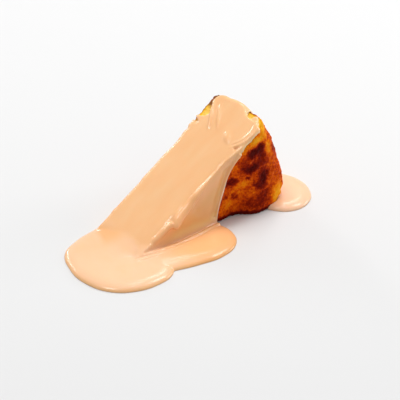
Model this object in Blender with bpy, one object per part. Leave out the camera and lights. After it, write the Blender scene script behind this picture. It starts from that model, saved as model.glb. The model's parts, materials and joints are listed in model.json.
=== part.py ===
"""A slice of burnt-top cheesecake lying on one of its cut faces, under a poured cream sauce.

The slice is one twelfth of a round cake. Its axis lies along Y: the tip is at low X, the rim at
high X, the browned top of the cake faces -Y and the base of the cake faces +Y. The lower cut face
rests on the ground, and the upper cut face slopes up from the tip to the rim. The sauce covers that
slope, hangs over the top of the cake as a curtain, runs down the rim, and lies in pools around it.
Units are metres, +Z is up, and the origin is at the centre of the whole part's base.
"""
import math

import bmesh
import bpy
from mathutils import Vector, noise

# ---------------------------------------------------------------- driving dimensions of the slice
CAKE_RADIUS = 0.1220            # a cake of about 24 cm
SLICE_ANGLE = math.radians(30)  # one twelfth of the cake
CAKE_HEIGHT = 0.040             # from the burnt top to the base, at the cake's middle
TOP_SWELL_LOW = 0.0090          # how far the burnt top rises towards the rim, near the ground
TOP_SWELL_HIGH = 0.0054         # the same, near the upper cut face
TOP_SWELL_FROM = 0.080          # the radius where that rise starts
TOP_SWELL_TO = 0.101            # and where it is complete
BASE_SWELL = 0.0042             # how far the base spreads at the rim
BASE_SWELL_FROM = 0.082
BASE_SWELL_TO = 0.104
TOP_SHOULDER = (0.0125, 0.0100)   # rounding from the burnt top to the side wall: radial, along Y
BASE_SHOULDER = (0.0030, 0.0030)  # rounding from the side wall to the base
LOW_TUCK = 0.008                # how far the wall curls in where it meets the ground
LOW_TUCK_HEIGHT = 0.012
TUCK_FROM = 0.070               # the tuck leaves the cake inside this radius alone

# Folds that the lining paper pressed into the side wall: angle in the slice, slant, depth, width.
PAPER_FOLDS = (
    (math.radians(4.5), -0.10, 0.0012, 0.0022),
    (math.radians(9.5), 0.16, 0.0020, 0.0026),
    (math.radians(15.5), -0.05, 0.0014, 0.0020),
    (math.radians(20.0), 0.12, 0.0021, 0.0028),
    (math.radians(26.0), -0.14, 0.0015, 0.0022),
)
CRUST_BUMPS = ((0.0100, 0.0006), (0.0045, 0.00035))  # size and height of the crust's bumps

# ---------------------------------------------------------------- driving dimensions of the sauce
GAP = 0.0003                    # free space between the sauce and the cake
COAT_DEPTH = 0.0022             # the coat on the slope
COAT_TIP_DEPTH = 0.0016         # what it gains towards the tip
CURTAIN_DEPTH = 0.0016          # the curtain on the burnt top
POOL_DEPTH = 0.0031
MENISCUS_REACH = 0.0060         # the curtain's foot spreads this far over the pool
MENISCUS_HEIGHT = 0.0090
CURTAIN_FOOT = 0.0665           # where the curtain's free edge meets the ground
CURTAIN_TOP = (0.0885, 0.0510)  # where that edge meets the ridge
CURTAIN_BOW = 0.0030            # how far the edge bows towards the tip
BEAD_LOW = 0.0024               # overhang of the coat's rolled near edge, between tip and curl
BEAD_HIGH = 0.0042              # the same between the curl and the rim
BEAD_RIM = 0.0012               # and over the bare crust
BEAD_FADE = 0.0080              # how far down the curtain the bead's thickness fades out
CURL_OUT = 0.0042               # a curl of sauce that sticks out of the near ridge
CURL_FROM = 0.0270              # where it starts along the slope
CURL_PEAK = 0.0310
CURL_END = 0.0620
FAR_OVERHANG = 0.0002           # of the coat beyond the cake's base
FAR_SETBACK = 0.0050            # and short of the base's edge near the rim
RIM_OVERHANG = 0.0024           # beyond the side wall, where the sauce ran over
RIM_SETBACK = 0.0026            # short of it, where it didn't
LAP_DEPTH = 0.0013              # the sauce that lapped over onto the cake's base
LAP_HANG = 0.0085               # how far it hangs, give or take its waves
LAP_END = 0.0860                # where it stops along the slope
COVER = 0.006                   # how far every layer reaches into the cake before it is cut

# The front pool's outline, as a smooth closed curve through these places (metres, slice's frame).
FRONT_POOL = (
    (0.0660, -0.0030), (0.0665, -0.0160), (0.0580, -0.0285), (0.0435, -0.0332), (0.0260, -0.0315),
    (0.0100, -0.0262), (-0.0065, -0.0318), (-0.0247, -0.0288), (-0.0375, -0.0185), (-0.0424, -0.0010),
    (-0.0375, 0.0188), (-0.0270, 0.0335), (-0.0145, 0.0380), (0.0000, 0.0385), (0.0190, 0.0452),
    (0.0350, 0.0455), (0.0460, 0.0385), (0.0560, 0.0200),
)
# The rim pool's outline, likewise.
RIM_POOL = (
    (0.1417, 0.0040), (0.1375, -0.0110), (0.1270, -0.0205), (0.1150, -0.0218), (0.1050, -0.0140),
    (0.1000, 0.0100), (0.1040, 0.0330), (0.1170, 0.0400), (0.1290, 0.0330), (0.1385, 0.0170),
)

# ---------------------------------------------------------------- finish of the meshes
SLICE_RINGS = 26
VOXEL = 0.0014
SMOOTHING_PASSES = 8
SAUCE_DETAIL = 0.24             # the share of the sauce's triangles that is kept
WELD = 0.00003                  # closes the slivers that the cuts leave

SLOPE_ALONG = Vector((math.cos(SLICE_ANGLE), 0.0, math.sin(SLICE_ANGLE)))
SLOPE_OUT = Vector((-math.sin(SLICE_ANGLE), 0.0, math.cos(SLICE_ANGLE)))


def clear_scene():
    for item in list(bpy.data.objects):
        bpy.data.objects.remove(item, do_unlink=True)


def ease(start, end, value):
    """0 before start, 1 after end, and a smooth step between them."""
    share = min(max((value - start) / (end - start), 0.0), 1.0)
    return share * share * (3.0 - 2.0 * share)


def mix(low, high, share):
    return low + (high - low) * share


# ================================================================ the slice of cake

def top_y(radius, angle):
    """Y of the burnt top: flat in the middle, rising towards the rim."""
    swell = mix(TOP_SWELL_LOW, TOP_SWELL_HIGH, angle / SLICE_ANGLE)
    return -swell * ease(TOP_SWELL_FROM, TOP_SWELL_TO, radius)


def base_y(radius):
    """Y of the cake's base."""
    return CAKE_HEIGHT + BASE_SWELL * ease(BASE_SWELL_FROM, BASE_SWELL_TO, radius)


def tuck(radius, angle):
    """How far the rim is drawn in near the ground."""
    height = radius * math.sin(angle)
    curl = LOW_TUCK * max(1.0 - height / LOW_TUCK_HEIGHT, 0.0) ** 2
    return curl * ease(TUCK_FROM, CAKE_RADIUS, radius)


def fold_depth(angle, y):
    """The dent that the paper's folds leave in the side wall."""
    depth = 0.0
    for fold_angle, slant, fold, width in PAPER_FOLDS:
        distance = (angle - fold_angle) * CAKE_RADIUS + slant * (y - CAKE_HEIGHT / 2)
        depth += fold * math.exp(-(distance / width) ** 2)
    return depth * ease(0.0, 0.014, y)


def bumps(point):
    """Small bumps of the baked surface."""
    return sum(height * noise.noise(point / size) for size, height in CRUST_BUMPS)


def section(angle):
    """Radius, Y and outward direction of points along the cake's outline, from top to base."""
    shoulder_r, shoulder_y = TOP_SHOULDER
    heel_r, heel_y = BASE_SHOULDER
    top_edge = CAKE_RADIUS - shoulder_r
    base_edge = CAKE_RADIUS - heel_r
    points = []
    for step in range(27):
        radius = mix(0.014, top_edge, step / 26)
        points.append((radius, top_y(radius, angle), 0.0, -1.0))
    start_y = top_y(top_edge, angle)
    for step in range(1, 7):
        turn = step / 6 * math.pi / 2
        radius = top_edge + shoulder_r * math.sin(turn)
        points.append((radius, start_y + shoulder_y * (1 - math.cos(turn)), math.sin(turn), -math.cos(turn)))
    wall_end = base_y(base_edge) - heel_y
    for step in range(1, 13):
        points.append((CAKE_RADIUS, mix(start_y + shoulder_y, wall_end, step / 12), 1.0, 0.0))
    for step in range(1, 4):
        turn = step / 3 * math.pi / 2
        radius = base_edge + heel_r * math.cos(turn)
        points.append((radius, wall_end + heel_y * math.sin(turn), math.cos(turn), math.sin(turn)))
    for step in range(1, 19):
        radius = mix(base_edge, 0.014, step / 18)
        points.append((radius, base_y(radius), 0.0, 1.0))
    return points


def slice_mesh(name, grow=0.0, sink=0.0):
    """The slice: its outline turned through the slice's angle, with a flat face at each cut."""
    mesh = bmesh.new()
    rings = []
    for ring_number in range(SLICE_RINGS + 1):
        angle = SLICE_ANGLE * ring_number / SLICE_RINGS
        shift = Vector((0.0, 0.0, 0.0))
        if ring_number == 0:
            shift = Vector((0.0, 0.0, -sink))
        if ring_number == SLICE_RINGS:
            shift = SLOPE_OUT * grow
        ring = []
        for radius, y, out_r, out_y in section(angle):
            place = Vector((radius * math.cos(angle), y, radius * math.sin(angle)))
            push = bumps(place) * ease(0.010, 0.030, radius) + grow
            reach = radius - tuck(radius, angle) + out_r * push - out_r * fold_depth(angle, y)
            point = Vector((reach * math.cos(angle), y + out_y * push, reach * math.sin(angle)))
            ring.append(mesh.verts.new(point + shift))
        rings.append(ring)
    tip_x = -(grow + sink * math.cos(SLICE_ANGLE)) / math.sin(SLICE_ANGLE)
    tip_top = mesh.verts.new((tip_x, -grow, -sink))
    tip_base = mesh.verts.new((tip_x, CAKE_HEIGHT + grow, -sink))
    for low, high in zip(rings, rings[1:]):
        for index in range(len(low) - 1):
            mesh.faces.new((low[index], low[index + 1], high[index + 1], high[index]))
        mesh.faces.new((tip_top, low[0], high[0]))
        mesh.faces.new((low[-1], tip_base, high[-1]))
    mesh.faces.new([tip_base] + list(reversed(rings[0])) + [tip_top])
    mesh.faces.new([tip_top] + rings[-1] + [tip_base])
    bmesh.ops.triangulate(mesh, faces=mesh.faces[:])
    bmesh.ops.recalc_face_normals(mesh, faces=mesh.faces[:])
    return mesh_object(name, mesh)


# ================================================================ the sauce

def patch(outer, inner, across, along):
    """A closed slab between two surfaces, each a function of two shares from 0 to 1."""
    mesh = bmesh.new()
    sheets = []
    for surface in (outer, inner):
        sheet = []
        for row in range(across + 1):
            sheet.append([mesh.verts.new(surface(row / across, column / along)) for column in range(along + 1)])
        sheets.append(sheet)
    front, back = sheets
    for row in range(across):
        for column in range(along):
            for sheet in sheets:
                mesh.faces.new((sheet[row][column], sheet[row][column + 1],
                                sheet[row + 1][column + 1], sheet[row + 1][column]))
    for row in range(across):
        for column in (0, along):
            mesh.faces.new((front[row][column], front[row + 1][column], back[row + 1][column], back[row][column]))
    for column in range(along):
        for row in (0, across):
            mesh.faces.new((front[row][column], front[row][column + 1], back[row][column + 1], back[row][column]))
    bmesh.ops.recalc_face_normals(mesh, faces=mesh.faces[:])
    return mesh


def on_slope(along, y, out):
    return SLOPE_ALONG * along + SLOPE_OUT * out + Vector((0.0, y, 0.0))


def bead(along):
    """How far the coat's rolled edge stands out from the burnt top."""
    body = mix(BEAD_LOW, BEAD_HIGH, ease(CURL_FROM, CURL_PEAK, along))
    body = mix(body, BEAD_RIM, ease(0.086, 0.099, along))
    curl = CURL_OUT * ease(CURL_FROM, CURL_PEAK, along) * (1.0 - ease(CURL_PEAK, CURL_END, along))
    return body + curl


def coat_far_edge(along):
    """Y of the coat's edge at the cake's base."""
    over = CAKE_HEIGHT + FAR_OVERHANG
    short = base_y(along) - FAR_SETBACK
    return mix(over, short, ease(0.084, 0.092, along))


def coat_end(across):
    """Where the coat ends at the rim: rounded near the burnt top, over the wall further on."""
    corner = 0.0068 * (1.0 - ease(0.0, 0.20, across))
    over = ease(0.40, 0.47, across)
    return CAKE_RADIUS - mix(RIM_SETBACK, -RIM_OVERHANG, over) - corner


def coat():
    """The layer on the slope. Its near side leans in under the rolled edge."""
    def outer(along_share, across):
        along = mix(-0.010, coat_end(across), along_share)
        near = top_y(along, SLICE_ANGLE) - bead(along)
        depth = COAT_DEPTH + COAT_TIP_DEPTH * math.exp(-max(along, 0.0) / 0.014)
        return on_slope(along, mix(near, coat_far_edge(along), across), depth)

    def inner(along_share, across):
        along = mix(-0.010, coat_end(across), along_share)
        near = top_y(along, SLICE_ANGLE) - min(bead(along), CURTAIN_DEPTH)
        cover = mix(COVER, 0.0015, ease(0.084, 0.096, along))
        return on_slope(along, mix(near, coat_far_edge(along), across), -cover)

    return patch(outer, inner, 64, 18)


def curtain():
    """The layer on the burnt top: thick under the rolled edge, and spreading at its foot."""
    def place(up, across):
        bow = CURTAIN_BOW * 4.0 * up * (1.0 - up)
        edge_x = mix(CURTAIN_FOOT, CURTAIN_TOP[0], up) - bow
        x = mix(-0.006, edge_x, across)
        z = mix(mix(-0.0035, -0.002, up), mix(-0.0035, CURTAIN_TOP[1], up), across)
        return x, z, top_y(math.hypot(x, z), math.atan2(max(z, 0.0), max(x, 0.001)))

    def outer(up, across):
        x, z, face = place(up, across)
        inside = 1.0 - ease(0.80, 1.0, across)
        foot = MENISCUS_REACH * max(1.0 - max(z, 0.0) / MENISCUS_HEIGHT, 0.0) ** 2
        along = x * math.cos(SLICE_ANGLE) + z * math.sin(SLICE_ANGLE)
        below = x * math.sin(SLICE_ANGLE) - z * math.cos(SLICE_ANGLE)
        roll = (bead(along) - CURTAIN_DEPTH) * math.exp(-max(below, 0.0) / BEAD_FADE)
        return Vector((x, face - CURTAIN_DEPTH - max(foot * inside, max(roll, 0.0) * inside), z))

    def inner(up, across):
        x, z, face = place(up, across)
        return Vector((x, face + COVER, z))

    return patch(outer, inner, 30, 40)


def far_lap():
    """The sauce that lapped over onto the cake's base, with a wavy lower edge."""
    def surface(out):
        def at(along_share, down):
            along = mix(-0.004, LAP_END, along_share)
            waves = 0.0035 * math.sin(along / 0.0062) + 0.0025 * math.sin(along / 0.0034 + 1.0)
            hang = (LAP_HANG + waves) * (1.0 - ease(LAP_END - 0.010, LAP_END, along))
            top = on_slope(along, base_y(along) + out, 0.0)
            return Vector((top.x, top.y, mix(top.z, max(top.z - hang, -COVER / 2), down)))
        return at
    return patch(surface(LAP_DEPTH), surface(-COVER), 60, 8)


def rim_run():
    """The sauce that ran over the rim and down the side wall to its pool."""
    def surface(depth):
        def at(down, across):
            angle = mix(SLICE_ANGLE, math.radians(-1.5), down)
            waist = 0.0035 * math.sin(math.pi * down)
            y = mix(0.011 + waist, 0.0385 - waist - 0.008 * down, across)
            crown = 0.6 + 0.4 * math.sin(math.pi * across)
            radius = CAKE_RADIUS - tuck(CAKE_RADIUS, max(angle, 0.0)) + depth * crown
            return Vector((radius * math.cos(angle), y, radius * math.sin(angle)))
        return at
    return patch(surface(0.0030), surface(-COVER), 24, 12)


def smooth_loop(places, steps=6):
    """Points along a smooth closed curve through the given places."""
    points = []
    count = len(places)
    for index in range(count):
        before, start, end, after = (Vector(places[(index + shift) % count]) for shift in (-1, 0, 1, 2))
        for step in range(steps):
            t = step / steps
            points.append(0.5 * (2 * start + (end - before) * t
                                 + (2 * before - 5 * start + 4 * end - after) * t ** 2
                                 + (3 * start - before - 3 * end + after) * t ** 3))
    return points


def pool(outline):
    mesh = bmesh.new()
    loop = [mesh.verts.new((point.x, point.y, -COVER)) for point in smooth_loop(outline)]
    floor = mesh.faces.new(loop)
    raised = bmesh.ops.extrude_face_region(mesh, geom=[floor])["geom"]
    top = [item for item in raised if isinstance(item, bmesh.types.BMVert)]
    bmesh.ops.translate(mesh, verts=top, vec=(0.0, 0.0, COVER + POOL_DEPTH))
    bmesh.ops.recalc_face_normals(mesh, faces=mesh.faces[:])
    return mesh


def sauce_body(name):
    """Every run and pool of the sauce in one mesh, still overlapping."""
    whole = bmesh.new()
    pieces = [coat(), curtain(), far_lap(), rim_run(), pool(FRONT_POOL), pool(RIM_POOL)]
    for piece in pieces:
        scratch = bpy.data.meshes.new("scratch")
        piece.to_mesh(scratch)
        piece.free()
        whole.from_mesh(scratch)
        bpy.data.meshes.remove(scratch)
    return mesh_object(name, whole)


def finish_sauce(sauce, cake_space, ground):
    """Melt the pieces together, and cut away the cake's space and what is under the ground."""
    melt = sauce.modifiers.new("melt", "REMESH")
    melt.mode = "VOXEL"
    melt.voxel_size = VOXEL
    soften = sauce.modifiers.new("soften", "SMOOTH")
    soften.factor = 0.5
    soften.iterations = SMOOTHING_PASSES
    thin = sauce.modifiers.new("thin", "DECIMATE")
    thin.ratio = SAUCE_DETAIL
    for cutter in (cake_space, ground):
        cut = sauce.modifiers.new("cut_" + cutter.name, "BOOLEAN")
        cut.operation = "DIFFERENCE"
        cut.solver = "EXACT"
        cut.object = cutter
    weld = sauce.modifiers.new("weld", "WELD")
    weld.merge_threshold = WELD


# ================================================================ objects and materials

def mesh_object(name, mesh):
    data = bpy.data.meshes.new(name)
    mesh.to_mesh(data)
    mesh.free()
    item = bpy.data.objects.new(name, data)
    bpy.context.scene.collection.objects.link(item)
    return item


def ground_block(name):
    mesh = bmesh.new()
    bmesh.ops.create_cube(mesh, size=1.0)
    for vert in mesh.verts:
        vert.co.z = vert.co.z * 0.04 - 0.02
    return mesh_object(name, mesh)


def as_cutter(item):
    item.hide_render = True
    item.display_type = "WIRE"
    return item


def give_material(item, name, colour, roughness, coat_weight=0.0):
    material = bpy.data.materials.new(name)
    material.use_nodes = True
    shader = material.node_tree.nodes["Principled BSDF"]
    shader.inputs["Base Color"].default_value = (*colour, 1.0)
    shader.inputs["Roughness"].default_value = roughness
    shader.inputs["Metallic"].default_value = 0.0
    shader.inputs["Coat Weight"].default_value = coat_weight
    item.data.materials.append(material)


def base_centre(items):
    """The middle of the whole part's box, at its lowest level."""
    graph = bpy.context.evaluated_depsgraph_get()
    corners = [vert.co.copy() for item in items for vert in item.evaluated_get(graph).data.vertices]
    low = Vector([min(corner[axis] for corner in corners) for axis in range(3)])
    high = Vector([max(corner[axis] for corner in corners) for axis in range(3)])
    return Vector(((low.x + high.x) / 2, (low.y + high.y) / 2, low.z))


def main():
    clear_scene()
    cake = slice_mesh("cheesecake")
    cake_space = as_cutter(slice_mesh("cake_space", grow=GAP, sink=0.002))
    ground = as_cutter(ground_block("ground"))
    sauce = sauce_body("cream_sauce")
    finish_sauce(sauce, cake_space, ground)
    give_material(cake, "baked_crust", (0.30, 0.085, 0.014), 0.55)
    give_material(sauce, "cream", (0.95, 0.60, 0.33), 0.25, coat_weight=0.4)
    for item in (cake, sauce):
        item.data.shade_smooth()
        item.data.set_sharp_from_angle(angle=math.radians(50))
    bpy.context.view_layer.update()
    centre = base_centre((cake, sauce))
    for item in (cake, cake_space, ground, sauce):
        item.location = -centre


main()
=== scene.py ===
# %% [markdown]
# # A slice of burnt-top cheesecake under a poured cream sauce
#
# The slice lies on one of its two cut faces. Its baked top stands upright and faces the viewer, the
# other cut face is a long slope, and a thick cream sauce runs down that slope into pools.
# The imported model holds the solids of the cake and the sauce, right in size and place, but coarse and
# plain. New shapes could be drawn by eye over a picture. Measuring them from the model is safer:
# nothing has to be fitted afterwards, and it looks right from every side.

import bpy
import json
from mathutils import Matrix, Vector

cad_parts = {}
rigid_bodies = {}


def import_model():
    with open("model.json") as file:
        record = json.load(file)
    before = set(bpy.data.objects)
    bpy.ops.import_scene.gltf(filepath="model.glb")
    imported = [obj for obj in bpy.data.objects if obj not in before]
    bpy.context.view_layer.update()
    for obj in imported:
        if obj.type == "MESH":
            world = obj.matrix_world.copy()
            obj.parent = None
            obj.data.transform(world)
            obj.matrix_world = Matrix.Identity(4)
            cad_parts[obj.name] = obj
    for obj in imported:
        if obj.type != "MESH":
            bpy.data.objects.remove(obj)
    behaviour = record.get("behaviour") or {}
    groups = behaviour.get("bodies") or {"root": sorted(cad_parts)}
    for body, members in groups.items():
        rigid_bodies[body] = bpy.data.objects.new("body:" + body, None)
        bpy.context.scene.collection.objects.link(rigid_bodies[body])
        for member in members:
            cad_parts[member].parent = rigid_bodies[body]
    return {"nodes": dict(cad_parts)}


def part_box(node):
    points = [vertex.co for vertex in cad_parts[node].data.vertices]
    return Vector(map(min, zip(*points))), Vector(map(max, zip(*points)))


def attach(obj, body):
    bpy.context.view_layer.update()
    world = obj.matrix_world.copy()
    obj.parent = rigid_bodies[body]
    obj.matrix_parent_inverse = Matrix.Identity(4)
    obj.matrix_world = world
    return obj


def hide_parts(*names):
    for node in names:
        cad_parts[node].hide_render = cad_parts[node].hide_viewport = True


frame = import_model()
print("packed solids:", sorted(frame["nodes"]))

# %% [markdown]
# The modules and the unit that the steps below use.

# %% Modules and units
import json
import math

import bmesh
import bpy
from mathutils import Quaternion, Vector, kdtree

MM = 0.001
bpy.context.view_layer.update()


# %% [markdown]
# Everything below is measured from the slice itself: X runs from its tip to its rim, Y from its
# baked top to its base, and Z up. Working in millimetres from the tip keeps the numbers readable,
# so one small function turns such a place into the frame's metres.

# %% A place on the slice, in millimetres
TOP_RISE = 9.1               # the baked top's swollen rim stands this far in front of its flat middle
SLICE_ANGLE = math.radians(30)
CAKE_CORNER = Vector(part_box("cheesecake")[0])
TIP = Vector((CAKE_CORNER.x, CAKE_CORNER.y + TOP_RISE * MM, 0.0))


def spot(x, y, z):
    """The frame's place, in metres, for a place on the slice."""
    return TIP + Vector((x, y, z)) * MM


print("tip of the slice at", [round(value, 4) for value in TIP])

# %% [markdown]
# The camera looks down at the slice from the side of its baked top. From close by, a short lens would
# make the near pool look too large beside the rim. A long lens from two metres away keeps the lines
# nearly parallel, so the slice shows its real proportions.

# %% Camera
AZIMUTH = math.radians(-41)  # turned round the slice from straight in front of the baked top
ELEVATION = math.radians(31)
LENS_MM = 300
CAMERA_DISTANCE = 2.136
FARTHEST_SEEN = 20.0
LOOK_AT = spot(77.3, 28.0, 0.0)
TO_CAMERA = Vector((
    math.sin(AZIMUTH) * math.cos(ELEVATION),
    -math.cos(AZIMUTH) * math.cos(ELEVATION),
    math.sin(ELEVATION),
))


def add_camera():
    bpy.ops.object.camera_add(location=LOOK_AT + TO_CAMERA * CAMERA_DISTANCE)
    camera = bpy.context.object
    camera.rotation_euler = TO_CAMERA.to_track_quat("Z", "Y").to_euler()
    camera.data.lens = LENS_MM
    camera.data.clip_end = FARTHEST_SEEN
    bpy.context.scene.camera = camera
    print("camera at", [round(value, 3) for value in camera.location])


add_camera()

# %% [markdown]
# White paint would leave the pale pools without an outline, so it is a light grey without gloss that
# the lamps lift to nearly white. It lies a hair below the ground, because two faces at one height
# flicker through each other.

# %% Floor
FLOOR_SIZE = 6.0
FLOOR_DROP = 0.2             # mm below the ground
FLOOR_GREY = 0.72


def add_floor():
    bpy.ops.mesh.primitive_plane_add(size=FLOOR_SIZE, location=(0.0, 0.0, -FLOOR_DROP * MM))
    floor = bpy.context.object
    floor.name = "floor"
    paint = bpy.data.materials.new("floor_white")
    paint.use_nodes = True
    shader = paint.node_tree.nodes["Principled BSDF"]
    shader.inputs["Base Color"].default_value = (FLOOR_GREY, FLOOR_GREY, FLOOR_GREY, 1.0)
    shader.inputs["Roughness"].default_value = 0.9
    shader.inputs["Specular IOR Level"].default_value = 0.1
    floor.data.materials.append(paint)
    print("floor:", FLOOR_SIZE, "m wide")


add_floor()

# %% [markdown]
# One wide soft lamp, nearly overhead, makes the pools light and leaves the baked side deep, because
# that side turns away from it. A lamp close by would leave the floor grey towards the viewer, so it
# stands four metres away. Its mirror image would lie on the sauce as one big white patch, and so it is
# hidden from reflections. A weaker lamp from the right lifts the baked top.

# %% The two lamps that light the slice
LAMP_DISTANCE = 1.5
KEY_DISTANCE = 4.0


def add_lamp(name, towards, size, watts, stretch=1.0, roll=0.0, distance=LAMP_DISTANCE):
    """A round lamp that shines on the slice from a direction; stretch and roll make it long and turned."""
    bpy.ops.object.light_add(type="AREA", location=LOOK_AT + towards.normalized() * distance)
    lamp = bpy.context.object
    lamp.name = name
    lamp.data.shape = "ELLIPSE"
    lamp.data.size = size
    lamp.data.size_y = size * stretch
    lamp.data.energy = watts
    turn = towards.to_track_quat("Z", "Y") @ Quaternion((0.0, 0.0, 1.0), math.radians(roll))
    lamp.rotation_euler = turn.to_euler()
    print("lamp:", name, watts, "W")
    return lamp


key = add_lamp("key", Vector((0.32, 0.28, 1.45)), size=2.1, watts=63.0, distance=KEY_DISTANCE)
key.visible_glossy = False
add_lamp("side", Vector((1.37, -0.47, 0.6)), size=0.6, watts=4.4)

# %% [markdown]
# Wet sauce looks wet by the thin bright lines on its rounded edges: the mirror images of small lamps.
# Such a lamp could be pushed about until its line falls right. But a mirror image shows where the
# surface faces halfway between lamp and camera, so the tilt of the edge that should shine is enough
# to work out where its lamp stands.

# %% Small lamps that draw bright lines on wet edges


def mirrored_in(tilt, compass):
    """Where the camera sees a lamp in a surface that leans that far, towards a compass angle from +X."""
    tilt, compass = math.radians(tilt), math.radians(compass)
    normal = Vector((
        math.sin(tilt) * math.cos(compass), math.sin(tilt) * math.sin(compass), math.cos(tilt)))
    return 2.0 * normal.dot(TO_CAMERA) * normal - TO_CAMERA


add_lamp("on_the_bead", mirrored_in(33, -149), 0.3, 4.0)
add_lamp("on_the_crease", mirrored_in(25, -90), 0.4, 3.6)
add_lamp("on_the_left_rim", mirrored_in(30, 150), 0.15, 3.0, stretch=6.0, roll=-36)
add_lamp("on_the_front_rim", mirrored_in(21, -127), 0.2, 0.6)
add_lamp("inside_the_front_rim", mirrored_in(13, -127), 0.2, 0.5)
add_lamp("on_the_side_rim", mirrored_in(8, -90), 0.35, 1.4)

# %% [markdown]
# A bright room fills the shadows from all round. The Standard view shows the colours as they were
# mixed, where Blender's default view would make the oranges paler.

# %% The room and the view
ROOM_LIGHT = 0.42


def add_room(strength):
    world = bpy.data.worlds.new("room")
    bpy.context.scene.world = world
    world.use_nodes = True
    background = world.node_tree.nodes["Background"]
    background.inputs["Color"].default_value = (1.0, 1.0, 1.0, 1.0)
    background.inputs["Strength"].default_value = strength
    print("room light:", strength)


add_room(ROOM_LIGHT)
bpy.context.scene.view_settings.view_transform = "Standard"

# %% [markdown]
# ## The cake
#
# The cake is a twelfth of a round one, with a swollen, wrinkled rim and rounded edges. Its packed
# solid has that form already, so it isn't modelled again: a copy of it becomes the cake. Operators act
# on whatever is selected, so each helper starts from an empty selection. The solid's triangles are
# loose, and merging their doubles comes before anything else.

# %% Copy the cake
MERGE_WITHIN = 0.01          # mm


def work_on(*pieces):
    """Selects these pieces and nothing else, and leaves edit mode if it was on."""
    if bpy.context.object and bpy.context.object.mode != "OBJECT":
        bpy.ops.object.mode_set(mode="OBJECT")
    bpy.ops.object.select_all(action="DESELECT")
    for piece in pieces:
        piece.select_set(True)
    bpy.context.view_layer.objects.active = pieces[0]


def make_outward(piece):
    """Merges points that lie on each other, and turns all faces to point out."""
    work_on(piece)
    bpy.ops.object.mode_set(mode="EDIT")
    bpy.ops.mesh.select_all(action="SELECT")
    bpy.ops.mesh.remove_doubles(threshold=MERGE_WITHIN * MM)
    bpy.ops.mesh.normals_make_consistent(inside=False)
    bpy.ops.object.mode_set(mode="OBJECT")


def copy_of(piece, name):
    """A copy with a mesh of its own, which rides on nothing."""
    twin = piece.copy()
    twin.data = piece.data.copy()
    twin.name = name
    twin.parent = None
    bpy.context.scene.collection.objects.link(twin)
    return twin


def tell(piece):
    """Prints a piece's name, its size and how many triangles it has."""
    per_axis = zip(*(point.co for point in piece.data.vertices))
    size = [round((max(values) - min(values)) / MM, 1) for values in per_axis]
    triangles = sum(len(face.vertices) - 2 for face in piece.data.polygons)
    print(f"{piece.name}: {size} mm, {triangles} triangles")


cake = copy_of(frame["nodes"]["cheesecake"], "baked_slice")
cake.data.materials.clear()
make_outward(cake)
tell(cake)

# %% [markdown]
# A crust needs small faces all over, so that wrinkles can push them about. Subdividing would keep
# the solid's long thin triangles. A voxel remesh gives even faces instead, and a little smoothing
# takes off its steps. A second, softer copy is kept as the form that the sauce clings to.

# %% An even skin, and a soft copy
CAKE_VOXEL = 0.6


def apply_modifier(piece, kind, **settings):
    """Adds a modifier of a kind with these settings, and applies it."""
    work_on(piece)
    modifier = piece.modifiers.new(kind.lower(), kind)
    for setting, value in settings.items():
        setattr(modifier, setting, value)
    bpy.ops.object.modifier_apply(modifier=modifier.name)


apply_modifier(cake, "REMESH", mode="VOXEL", voxel_size=CAKE_VOXEL * MM)
apply_modifier(cake, "SMOOTH", factor=0.5, iterations=2)
soft_cake = copy_of(cake, "soft_cake")
apply_modifier(soft_cake, "SMOOTH", factor=0.5, iterations=12)
tell(cake)

# %% [markdown]
# The cut faces show pale custard, and the skin round them is crust. A finish can't see where one ends
# and the other starts. The mesh can, by the way its faces point. So each point stores how far it is
# from the crust, while the skin is still smooth, and the finish reads that number later.

# %% How deep each point of the cut faces lies under the crust
CUT_FACES = (Vector((-math.sin(SLICE_ANGLE), 0.0, math.cos(SLICE_ANGLE))), Vector((0.0, 0.0, -1.0)))
FACES_ALONG = 0.85           # a point is on a cut face if its normal agrees with that face's this well


def search_tree(places):
    """A tree whose find(place) gives the nearest of these places, its number and how far it is."""
    tree = kdtree.KDTree(len(places))
    for number, place in enumerate(places):
        tree.insert(place, number)
    tree.balance()
    return tree


def store_distances(piece, name, tree):
    """Stores each point's distance from the tree's nearest place, in millimetres, under a name."""
    distances = [tree.find(point.co)[2] / MM for point in piece.data.vertices]
    attribute = piece.data.attributes.new(name, "FLOAT", "POINT")
    attribute.data.foreach_set("value", distances)


def mark_crumb(piece):
    """Stores each point's distance from the nearest point that is not on a cut face."""
    points = piece.data.vertices
    on_crust = [point.co for point in points
                if all(point.normal.dot(face) < FACES_ALONG for face in CUT_FACES)]
    print("points on the crust:", len(on_crust), "of", len(points))
    store_distances(piece, "under_crust", search_tree(on_crust))


mark_crumb(cake)

# %% [markdown]
# A baked crust is wrinkled and blistered. Bump in the finish alone would leave the outline smooth, so
# Displace modifiers with cloud textures push the skin itself in and out: broad dents, then grain.

# %% Crust relief


def roughen(piece, name, lump, height, detail=1):
    """Pushes a piece's skin in and out by cloudy noise, with lumps of a size and a height in mm."""
    clouds = bpy.data.textures.new(name, "CLOUDS")
    clouds.noise_scale = lump * MM
    clouds.noise_depth = detail
    apply_modifier(piece, "DISPLACE", texture=clouds, texture_coords="LOCAL",
                   strength=height * MM, mid_level=0.5)


roughen(cake, "crust_wrinkles", 3.6, 1.3)
roughen(cake, "crust_grain", 1.5, 0.9)
tell(cake)

# %% [markdown]
# ## The sauce
#
# A thick sauce has one smooth skin over runs and pools that started apart. A fluid simulation makes
# such a skin too, but its runs end where they like. So each run and pool is a simple closed shape of
# its own, all are joined, and a voxel remesh melts them together. Most of them start as an outline: a
# smooth Bezier curve through a few places, which becomes a face and is extruded into a slab.

# %% Outlines drawn as smooth curves
CURVE_STEPS = 10             # straight pieces between two places of a curve
ROUNDING_STEPS = 8           # faces across a rounded rim


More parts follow.
